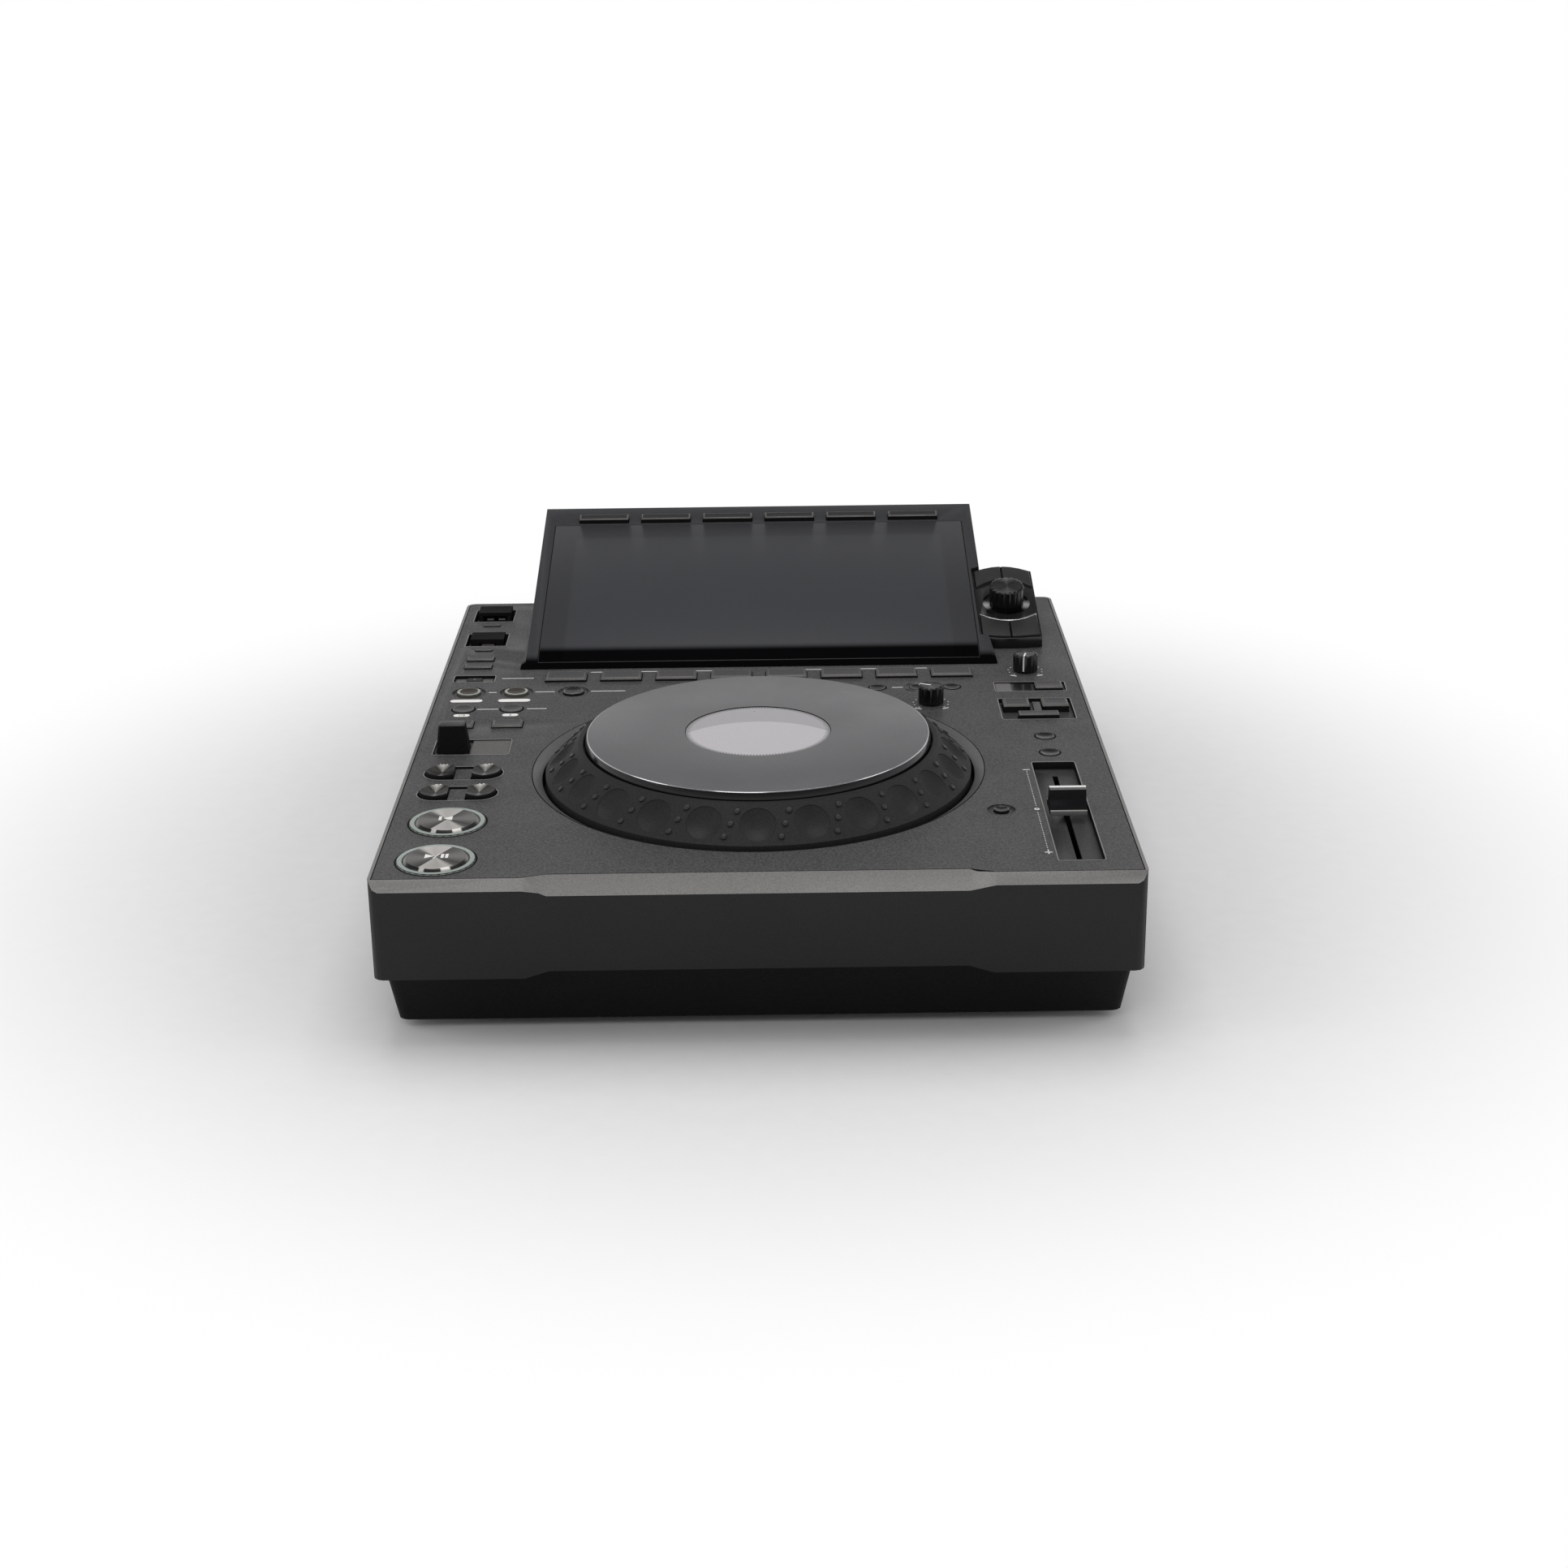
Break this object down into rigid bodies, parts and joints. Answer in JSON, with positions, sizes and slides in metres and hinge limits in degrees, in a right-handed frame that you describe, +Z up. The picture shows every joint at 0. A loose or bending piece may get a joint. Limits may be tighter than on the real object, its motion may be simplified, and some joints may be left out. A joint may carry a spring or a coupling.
{
  "type": "club media player",
  "caption": "Flat deck player with a large jog wheel, a raised tilted touch display, a rotary selector, rows of keys, round cue and play buttons and a tempo slider.",
  "frame": {"origin": "on the table, under the middle of the part's box", "axes": "+X to the player's right, +Y away from the person who plays, towards the raised display, +Z up"},
  "size_m": [0.329, 0.4528, 0.118],
  "materials": {
    "case_metal": "satin",
    "panel_grey": "satin, fine metallic speckle",
    "rubber": "matt",
    "soft_black": "matt",
    "gloss_black": "gloss",
    "display_glass": "polished, opaque black behind",
    "key_grey": "matt",
    "spun_steel": "spun",
    "dark_metal": "spun, dark",
    "olive_lens": "translucent, satin",
    "disc_grey": "satin, with fine rings",
    "window_grey": "clear cover over a pale display"
  },
  "bodies": {
    "player": {"lower_case": "case_metal", "top_panel": "panel_grey", "display_frame": "panel_grey", "display_glass": "display_glass", "selector_pod": "gloss_black", "jog_display": "window_grey"},
    "jog_wheel": {"jog_ring": "rubber", "jog_disc": "disc_grey"},
    "selector_knob": {"selector_knob": "gloss_black"},
    "back_key": {"back_key": "soft_black"},
    "tag_key": {"tag_key": "soft_black"},
    "track_filter_key": {"track_filter_key": "soft_black"},
    "shortcut_key": {"shortcut_key": "soft_black"},
    "cue_button": {"cue_button": "spun_steel"},
    "play_button": {"play_button": "spun_steel"},
    "track_search_back_button": {"track_search_back_button": "dark_metal"},
    "track_search_forward_button": {"track_search_forward_button": "dark_metal"},
    "search_back_button": {"search_back_button": "dark_metal"},
    "search_forward_button": {"search_forward_button": "dark_metal"},
    "loop_in_button": {"loop_in_button": "olive_lens"},
    "loop_out_button": {"loop_out_button": "olive_lens"},
    "reloop_button": {"reloop_button": "soft_black"},
    "loop_half_button": {"loop_half_button": "soft_black"},
    "loop_double_button": {"loop_double_button": "soft_black"},
    "beat_jump_back_key": {"beat_jump_back_key": "key_grey"},
    "beat_jump_forward_key": {"beat_jump_forward_key": "key_grey"},
    "direction_lever": {"direction_lever": "soft_black"},
    "call_key": {"call_key": "soft_black"},
    "quantize_key": {"quantize_key": "key_grey"},
    "time_mode_key": {"time_mode_key": "key_grey"},
    "usb_stop_key_1": {"usb_stop_key_1": "key_grey"},
    "usb_stop_key_2": {"usb_stop_key_2": "key_grey"},
    "cue_call_button": {"cue_call_button": "soft_black"},
    "cue_delete_button": {"cue_delete_button": "soft_black"},
    "cue_memory_button": {"cue_memory_button": "soft_black"},
    "vinyl_speed_knob": {"vinyl_speed_knob": "key_grey"},
    "jog_adjust_knob": {"jog_adjust_knob": "key_grey"},
    "jog_mode_key": {"jog_mode_key": "key_grey"},
    "key_sync_key": {"key_sync_key": "key_grey"},
    "beat_sync_key": {"beat_sync_key": "key_grey"},
    "master_key": {"master_key": "key_grey"},
    "tempo_range_button": {"tempo_range_button": "soft_black"},
    "master_tempo_button": {"master_tempo_button": "soft_black"},
    "tempo_reset_button": {"tempo_reset_button": "soft_black"},
    "tempo_slider": {"tempo_slider": "soft_black"},
    "power_button": {"power_button": "soft_black"},
    "source_key_1": {"source_key_1": "key_grey"},
    "source_key_2": {"source_key_2": "key_grey"},
    "source_key_3": {"source_key_3": "key_grey"},
    "source_key_4": {"source_key_4": "key_grey"},
    "source_key_5": {"source_key_5": "key_grey"},
    "source_key_6": {"source_key_6": "key_grey"},
    "hot_cue_key_1": {"hot_cue_key_1": "key_grey"},
    "hot_cue_key_2": {"hot_cue_key_2": "key_grey"},
    "hot_cue_key_3": {"hot_cue_key_3": "key_grey"},
    "hot_cue_key_4": {"hot_cue_key_4": "key_grey"},
    "hot_cue_key_5": {"hot_cue_key_5": "key_grey"},
    "hot_cue_key_6": {"hot_cue_key_6": "key_grey"},
    "hot_cue_key_7": {"hot_cue_key_7": "key_grey"},
    "hot_cue_key_8": {"hot_cue_key_8": "key_grey"}
  },
  "joints": [
    {"name": "jog_spin", "type": "hinge", "parent": "player", "child": "jog_wheel", "pos_m": [0, -0.09281, 0.0768], "axis": [0, 0, 1], "continuous": true},
    {"name": "selector_turn", "type": "hinge", "parent": "player", "child": "selector_knob", "pos_m": [0.1342, 0.11609, 0.09103], "axis": [0, -0.2267, 0.974], "continuous": true},
    {"name": "vinyl_speed_turn", "type": "hinge", "parent": "player", "child": "vinyl_speed_knob", "pos_m": [0.1378, 0.04219, 0.0768], "axis": [0, 0, 1], "range_deg": [-135, 135]},
    {"name": "jog_adjust_turn", "type": "hinge", "parent": "player", "child": "jog_adjust_knob", "pos_m": [0.086, -0.00691, 0.0768], "axis": [0, 0, 1], "range_deg": [-135, 135]},
    {"name": "direction_rock", "type": "hinge", "parent": "player", "child": "direction_lever", "pos_m": [-0.1456, -0.06621, 0.0649], "axis": [1, 0, 0], "range_deg": [-9, 9]},
    {"name": "tempo_slide", "type": "slide", "parent": "player", "child": "tempo_slider", "axis": [0, 1, 0], "range_m": [-0.045, 0.045]},
    {"name": "power_press", "type": "slide", "parent": "player", "child": "power_button", "axis": [0, -1, 0], "range_m": [0, 0.0015], "stiffness_N_per_m": 250},
    {"name": "back_press", "type": "slide", "parent": "player", "child": "back_key", "axis": [0, 0.2267, -0.974], "range_m": [0, 0.0006], "stiffness_N_per_m": 300},
    {"name": "tag_press", "type": "slide", "parent": "player", "child": "tag_key", "axis": [0, 0.2267, -0.974], "range_m": [0, 0.0006], "stiffness_N_per_m": 300},
    {"name": "track_filter_press", "type": "slide", "parent": "player", "child": "track_filter_key", "axis": [0, 0.2267, -0.974], "range_m": [0, 0.0006], "stiffness_N_per_m": 300},
    {"name": "shortcut_press", "type": "slide", "parent": "player", "child": "shortcut_key", "axis": [0, 0.2267, -0.974], "range_m": [0, 0.0006], "stiffness_N_per_m": 300},
    {"name": "cue_press", "type": "slide", "parent": "player", "child": "cue_button", "axis": [0, 0, -1], "range_m": [0, 0.001], "stiffness_N_per_m": 200},
    {"name": "play_press", "type": "slide", "parent": "player", "child": "play_button", "axis": [0, 0, -1], "range_m": [0, 0.001], "stiffness_N_per_m": 200},
    {"name": "track_search_back_press", "type": "slide", "parent": "player", "child": "track_search_back_button", "axis": [0, 0, -1], "range_m": [0, 0.001], "stiffness_N_per_m": 200},
    {"name": "track_search_forward_press", "type": "slide", "parent": "player", "child": "track_search_forward_button", "axis": [0, 0, -1], "range_m": [0, 0.001], "stiffness_N_per_m": 200},
    {"name": "search_back_press", "type": "slide", "parent": "player", "child": "search_back_button", "axis": [0, 0, -1], "range_m": [0, 0.001], "stiffness_N_per_m": 200},
    {"name": "search_forward_press", "type": "slide", "parent": "player", "child": "search_forward_button", "axis": [0, 0, -1], "range_m": [0, 0.001], "stiffness_N_per_m": 200},
    {"name": "loop_in_press", "type": "slide", "parent": "player", "child": "loop_in_button", "axis": [0, 0, -1], "range_m": [0, 0.001], "stiffness_N_per_m": 200},
    {"name": "loop_out_press", "type": "slide", "parent": "player", "child": "loop_out_button", "axis": [0, 0, -1], "range_m": [0, 0.001], "stiffness_N_per_m": 200},
    {"name": "reloop_press", "type": "slide", "parent": "player", "child": "reloop_button", "axis": [0, 0, -1], "range_m": [0, 0.001], "stiffness_N_per_m": 200},
    {"name": "loop_half_press", "type": "slide", "parent": "player", "child": "loop_half_button", "axis": [0, 0, -1], "range_m": [0, 0.001], "stiffness_N_per_m": 200},
    {"name": "loop_double_press", "type": "slide", "parent": "player", "child": "loop_double_button", "axis": [0, 0, -1], "range_m": [0, 0.001], "stiffness_N_per_m": 200},
    {"name": "beat_jump_back_press", "type": "slide", "parent": "player", "child": "beat_jump_back_key", "axis": [0, 0, -1], "range_m": [0, 0.001], "stiffness_N_per_m": 200},
    {"name": "beat_jump_forward_press", "type": "slide", "parent": "player", "child": "beat_jump_forward_key", "axis": [0, 0, -1], "range_m": [0, 0.001], "stiffness_N_per_m": 200},
    {"name": "call_press", "type": "slide", "parent": "player", "child": "call_key", "axis": [0, 0, -1], "range_m": [0, 0.001], "stiffness_N_per_m": 200},
    {"name": "quantize_press", "type": "slide", "parent": "player", "child": "quantize_key", "axis": [0, 0, -1], "range_m": [0, 0.001], "stiffness_N_per_m": 200},
    {"name": "time_mode_press", "type": "slide", "parent": "player", "child": "time_mode_key", "axis": [0, 0, -1], "range_m": [0, 0.001], "stiffness_N_per_m": 200},
    {"name": "usb_stop_1_press", "type": "slide", "parent": "player", "child": "usb_stop_key_1", "axis": [0, 0, -1], "range_m": [0, 0.001], "stiffness_N_per_m": 200},
    {"name": "usb_stop_2_press", "type": "slide", "parent": "player", "child": "usb_stop_key_2", "axis": [0, 0, -1], "range_m": [0, 0.001], "stiffness_N_per_m": 200},
    {"name": "cue_call_press", "type": "slide", "parent": "player", "child": "cue_call_button", "axis": [0, 0, -1], "range_m": [0, 0.001], "stiffness_N_per_m": 200},
    {"name": "cue_delete_press", "type": "slide", "parent": "player", "child": "cue_delete_button", "axis": [0, 0, -1], "range_m": [0, 0.001], "stiffness_N_per_m": 200},
    {"name": "cue_memory_press", "type": "slide", "parent": "player", "child": "cue_memory_button", "axis": [0, 0, -1], "range_m": [0, 0.001], "stiffness_N_per_m": 200},
    {"name": "jog_mode_press", "type": "slide", "parent": "player", "child": "jog_mode_key", "axis": [0, 0, -1], "range_m": [0, 0.001], "stiffness_N_per_m": 200},
    {"name": "key_sync_press", "type": "slide", "parent": "player", "child": "key_sync_key", "axis": [0, 0, -1], "range_m": [0, 0.001], "stiffness_N_per_m": 200},
    {"name": "beat_sync_press", "type": "slide", "parent": "player", "child": "beat_sync_key", "axis": [0, 0, -1], "range_m": [0, 0.001], "stiffness_N_per_m": 200},
    {"name": "master_press", "type": "slide", "parent": "player", "child": "master_key", "axis": [0, 0, -1], "range_m": [0, 0.001], "stiffness_N_per_m": 200},
    {"name": "tempo_range_press", "type": "slide", "parent": "player", "child": "tempo_range_button", "axis": [0, 0, -1], "range_m": [0, 0.001], "stiffness_N_per_m": 200},
    {"name": "master_tempo_press", "type": "slide", "parent": "player", "child": "master_tempo_button", "axis": [0, 0, -1], "range_m": [0, 0.001], "stiffness_N_per_m": 200},
    {"name": "tempo_reset_press", "type": "slide", "parent": "player", "child": "tempo_reset_button", "axis": [0, 0, -1], "range_m": [0, 0.001], "stiffness_N_per_m": 200},
    {"name": "source_key_1_press", "type": "slide", "parent": "player", "child": "source_key_1", "axis": [0, 0.2267, -0.974], "range_m": [0, 0.001], "stiffness_N_per_m": 200},
    {"name": "source_key_2_press", "type": "slide", "parent": "player", "child": "source_key_2", "axis": [0, 0.2267, -0.974], "range_m": [0, 0.001], "stiffness_N_per_m": 200},
    {"name": "source_key_3_press", "type": "slide", "parent": "player", "child": "source_key_3", "axis": [0, 0.2267, -0.974], "range_m": [0, 0.001], "stiffness_N_per_m": 200},
    {"name": "source_key_4_press", "type": "slide", "parent": "player", "child": "source_key_4", "axis": [0, 0.2267, -0.974], "range_m": [0, 0.001], "stiffness_N_per_m": 200},
    {"name": "source_key_5_press", "type": "slide", "parent": "player", "child": "source_key_5", "axis": [0, 0.2267, -0.974], "range_m": [0, 0.001], "stiffness_N_per_m": 200},
    {"name": "source_key_6_press", "type": "slide", "parent": "player", "child": "source_key_6", "axis": [0, 0.2267, -0.974], "range_m": [0, 0.001], "stiffness_N_per_m": 200},
    {"name": "hot_cue_1_press", "type": "slide", "parent": "player", "child": "hot_cue_key_1", "axis": [0, 0, -1], "range_m": [0, 0.001], "stiffness_N_per_m": 200},
    {"name": "hot_cue_2_press", "type": "slide", "parent": "player", "child": "hot_cue_key_2", "axis": [0, 0, -1], "range_m": [0, 0.001], "stiffness_N_per_m": 200},
    {"name": "hot_cue_3_press", "type": "slide", "parent": "player", "child": "hot_cue_key_3", "axis": [0, 0, -1], "range_m": [0, 0.001], "stiffness_N_per_m": 200},
    {"name": "hot_cue_4_press", "type": "slide", "parent": "player", "child": "hot_cue_key_4", "axis": [0, 0, -1], "range_m": [0, 0.001], "stiffness_N_per_m": 200},
    {"name": "hot_cue_5_press", "type": "slide", "parent": "player", "child": "hot_cue_key_5", "axis": [0, 0, -1], "range_m": [0, 0.001], "stiffness_N_per_m": 200},
    {"name": "hot_cue_6_press", "type": "slide", "parent": "player", "child": "hot_cue_key_6", "axis": [0, 0, -1], "range_m": [0, 0.001], "stiffness_N_per_m": 200},
    {"name": "hot_cue_7_press", "type": "slide", "parent": "player", "child": "hot_cue_key_7", "axis": [0, 0, -1], "range_m": [0, 0.001], "stiffness_N_per_m": 200},
    {"name": "hot_cue_8_press", "type": "slide", "parent": "player", "child": "hot_cue_key_8", "axis": [0, 0, -1], "range_m": [0, 0.001], "stiffness_N_per_m": 200}
  ]
}
